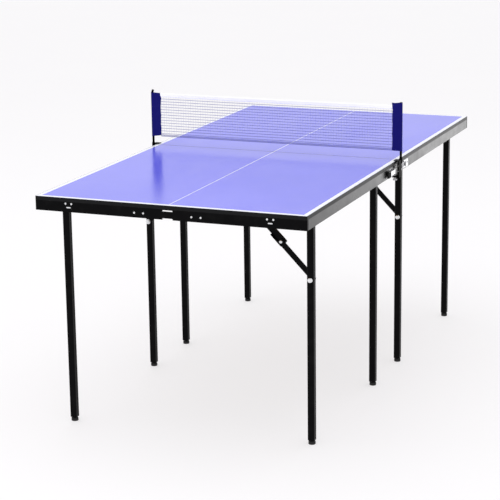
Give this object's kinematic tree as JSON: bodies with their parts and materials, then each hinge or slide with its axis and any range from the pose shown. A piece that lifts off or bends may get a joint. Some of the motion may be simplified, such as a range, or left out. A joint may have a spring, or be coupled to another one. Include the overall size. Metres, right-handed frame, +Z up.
{
  "type": "ping pong table",
  "caption": "Mid-size folding ping pong table: two half tables latched at the net line, each on folding braced leg frames with screw-in feet, and a clamp-on net.",
  "frame": {"origin": "on the floor under the middle of the net", "axes": "+X across the table, +Y along the table's length, +Z up"},
  "size_m": [0.9302, 1.8032, 0.9673],
  "materials": {
    "board": "semi-gloss blue lacquer with white lines",
    "edge_band": "satin black edge band",
    "frame_paint": "semi-gloss black powder coat",
    "zinc": "bright zinc plate",
    "chrome": "chrome plate",
    "grip": "matte black moulded plastic",
    "foot": "matte black moulded plastic",
    "net": "knotted cord net with a white top tape",
    "sleeve": "navy woven fabric"
  },
  "bodies": {
    "table": {"near_board": "board", "far_board": "board", "near_edge_band": "edge_band", "far_edge_band": "edge_band", "near_end_apron": "frame_paint", "far_end_apron": "frame_paint", "near_net_apron": "frame_paint", "far_net_apron": "frame_paint", "near_right_side_apron": "frame_paint", "near_left_side_apron": "frame_paint", "far_left_side_apron": "frame_paint", "far_right_side_apron": "frame_paint", "near_fold_saddles": "frame_paint", "far_fold_saddles": "frame_paint", "near_brace_brackets": "frame_paint", "far_brace_brackets": "frame_paint", "corner_gussets": "frame_paint", "board_cleats": "frame_paint", "apron_rivets": "zinc", "slot_tabs": "zinc", "pivot_pins": "zinc", "latch_bases": "chrome", "latch_keepers": "chrome", "left_net_clamp": "frame_paint", "right_net_clamp": "frame_paint", "left_net_post": "frame_paint", "right_net_post": "frame_paint", "net": "net", "net_sleeves": "sleeve"},
    "near_right_legs": {"near_right_leg_frame": "frame_paint", "near_right_brace_bolt": "zinc"},
    "near_right_lower_link": {"near_right_lower_link": "frame_paint"},
    "near_right_upper_link": {"near_right_upper_link": "frame_paint"},
    "near_right_end_foot": {"near_right_end_foot": "foot"},
    "near_right_net_foot": {"near_right_net_foot": "foot"},
    "near_left_legs": {"near_left_leg_frame": "frame_paint", "near_left_brace_bolt": "zinc"},
    "near_left_lower_link": {"near_left_lower_link": "frame_paint"},
    "near_left_upper_link": {"near_left_upper_link": "frame_paint"},
    "near_left_end_foot": {"near_left_end_foot": "foot"},
    "near_left_net_foot": {"near_left_net_foot": "foot"},
    "far_left_legs": {"far_left_leg_frame": "frame_paint", "far_left_brace_bolt": "zinc"},
    "far_left_lower_link": {"far_left_lower_link": "frame_paint"},
    "far_left_upper_link": {"far_left_upper_link": "frame_paint"},
    "far_left_end_foot": {"far_left_end_foot": "foot"},
    "far_left_net_foot": {"far_left_net_foot": "foot"},
    "far_right_legs": {"far_right_leg_frame": "frame_paint", "far_right_brace_bolt": "zinc"},
    "far_right_lower_link": {"far_right_lower_link": "frame_paint"},
    "far_right_upper_link": {"far_right_upper_link": "frame_paint"},
    "far_right_end_foot": {"far_right_end_foot": "foot"},
    "far_right_net_foot": {"far_right_net_foot": "foot"},
    "right_latch_lever": {"right_latch_lever": "chrome", "right_latch_grip": "grip"},
    "right_latch_loop": {"right_latch_loop": "chrome"},
    "right_clamp_screw": {"right_clamp_screw": "chrome"},
    "left_latch_lever": {"left_latch_lever": "chrome", "left_latch_grip": "grip"},
    "left_latch_loop": {"left_latch_loop": "chrome"},
    "left_clamp_screw": {"left_clamp_screw": "chrome"}
  },
  "joints": [
    {"name": "near_right_fold", "type": "hinge", "parent": "table", "child": "near_right_legs", "pos_m": [0.401, -0.42325, 0.742], "axis": [0, 1, 0], "range_deg": [0, 90]},
    {"name": "near_right_lower_swing", "type": "hinge", "parent": "near_right_legs", "child": "near_right_lower_link", "pos_m": [0.401, -0.71525, 0.532], "axis": [0, 1, 0], "range_deg": [0, 45]},
    {"name": "near_right_upper_swing", "type": "hinge", "parent": "table", "child": "near_right_upper_link", "pos_m": [0.1954, -0.70275, 0.742], "axis": [0, -1, 0], "range_deg": [0, 46]},
    {"name": "near_right_end_foot_screw", "type": "slide", "parent": "near_right_legs", "child": "near_right_end_foot", "axis": [0, 0, -1], "range_m": [0, 0.01]},
    {"name": "near_right_net_foot_screw", "type": "slide", "parent": "near_right_legs", "child": "near_right_net_foot", "axis": [0, 0, -1], "range_m": [0, 0.01]},
    {"name": "near_left_fold", "type": "hinge", "parent": "table", "child": "near_left_legs", "pos_m": [-0.401, -0.47725, 0.742], "axis": [0, -1, 0], "range_deg": [0, 90]},
    {"name": "near_left_lower_swing", "type": "hinge", "parent": "near_left_legs", "child": "near_left_lower_link", "pos_m": [-0.401, -0.18525, 0.532], "axis": [0, -1, 0], "range_deg": [0, 45]},
    {"name": "near_left_upper_swing", "type": "hinge", "parent": "table", "child": "near_left_upper_link", "pos_m": [-0.1954, -0.19775, 0.742], "axis": [0, 1, 0], "range_deg": [0, 46]},
    {"name": "near_left_end_foot_screw", "type": "slide", "parent": "near_left_legs", "child": "near_left_end_foot", "axis": [0, 0, -1], "range_m": [0, 0.01]},
    {"name": "near_left_net_foot_screw", "type": "slide", "parent": "near_left_legs", "child": "near_left_net_foot", "axis": [0, 0, -1], "range_m": [0, 0.01]},
    {"name": "far_left_fold", "type": "hinge", "parent": "table", "child": "far_left_legs", "pos_m": [-0.401, 0.42325, 0.742], "axis": [0, -1, 0], "range_deg": [0, 90]},
    {"name": "far_left_lower_swing", "type": "hinge", "parent": "far_left_legs", "child": "far_left_lower_link", "pos_m": [-0.401, 0.71525, 0.532], "axis": [0, -1, 0], "range_deg": [0, 45]},
    {"name": "far_left_upper_swing", "type": "hinge", "parent": "table", "child": "far_left_upper_link", "pos_m": [-0.1954, 0.70275, 0.742], "axis": [0, 1, 0], "range_deg": [0, 46]},
    {"name": "far_left_end_foot_screw", "type": "slide", "parent": "far_left_legs", "child": "far_left_end_foot", "axis": [0, 0, -1], "range_m": [0, 0.01]},
    {"name": "far_left_net_foot_screw", "type": "slide", "parent": "far_left_legs", "child": "far_left_net_foot", "axis": [0, 0, -1], "range_m": [0, 0.01]},
    {"name": "far_right_fold", "type": "hinge", "parent": "table", "child": "far_right_legs", "pos_m": [0.401, 0.47725, 0.742], "axis": [0, 1, 0], "range_deg": [0, 90]},
    {"name": "far_right_lower_swing", "type": "hinge", "parent": "far_right_legs", "child": "far_right_lower_link", "pos_m": [0.401, 0.18525, 0.532], "axis": [0, 1, 0], "range_deg": [0, 45]},
    {"name": "far_right_upper_swing", "type": "hinge", "parent": "table", "child": "far_right_upper_link", "pos_m": [0.1954, 0.19775, 0.742], "axis": [0, -1, 0], "range_deg": [0, 46]},
    {"name": "far_right_end_foot_screw", "type": "slide", "parent": "far_right_legs", "child": "far_right_end_foot", "axis": [0, 0, -1], "range_m": [0, 0.01]},
    {"name": "far_right_net_foot_screw", "type": "slide", "parent": "far_right_legs", "child": "far_right_net_foot", "axis": [0, 0, -1], "range_m": [0, 0.01]},
    {"name": "right_latch_open", "type": "hinge", "parent": "table", "child": "right_latch_lever", "pos_m": [0.4555, -0.062, 0.74175], "axis": [0, 0, 1], "range_deg": [0, 90]},
    {"name": "right_loop_turn", "type": "hinge", "parent": "right_latch_lever", "child": "right_latch_loop", "pos_m": [0.4555, -0.066, 0.74175], "axis": [0, 0, 1], "range_deg": [-90, 0]},
    {"name": "right_clamp_release", "type": "slide", "parent": "table", "child": "right_clamp_screw", "axis": [0, 0, -1], "range_m": [0, 0.005]},
    {"name": "left_latch_open", "type": "hinge", "parent": "table", "child": "left_latch_lever", "pos_m": [-0.4555, 0.062, 0.74175], "axis": [0, 0, 1], "range_deg": [0, 90]},
    {"name": "left_loop_turn", "type": "hinge", "parent": "left_latch_lever", "child": "left_latch_loop", "pos_m": [-0.4555, 0.066, 0.74175], "axis": [0, 0, 1], "range_deg": [-90, 0]},
    {"name": "left_clamp_release", "type": "slide", "parent": "table", "child": "left_clamp_screw", "axis": [0, 0, -1], "range_m": [0, 0.005]}
  ],
  "couplings": [
    {"joint": "near_right_lower_swing", "follows": "near_right_fold", "ratio": 0.49326},
    {"joint": "near_right_upper_swing", "follows": "near_right_fold", "ratio": 0.50674},
    {"joint": "near_left_lower_swing", "follows": "near_left_fold", "ratio": 0.49326},
    {"joint": "near_left_upper_swing", "follows": "near_left_fold", "ratio": 0.50674},
    {"joint": "far_left_lower_swing", "follows": "far_left_fold", "ratio": 0.49326},
    {"joint": "far_left_upper_swing", "follows": "far_left_fold", "ratio": 0.50674},
    {"joint": "far_right_lower_swing", "follows": "far_right_fold", "ratio": 0.49326},
    {"joint": "far_right_upper_swing", "follows": "far_right_fold", "ratio": 0.50674},
    {"joint": "right_loop_turn", "follows": "right_latch_open", "ratio": -1},
    {"joint": "left_loop_turn", "follows": "left_latch_open", "ratio": -1}
  ]
}
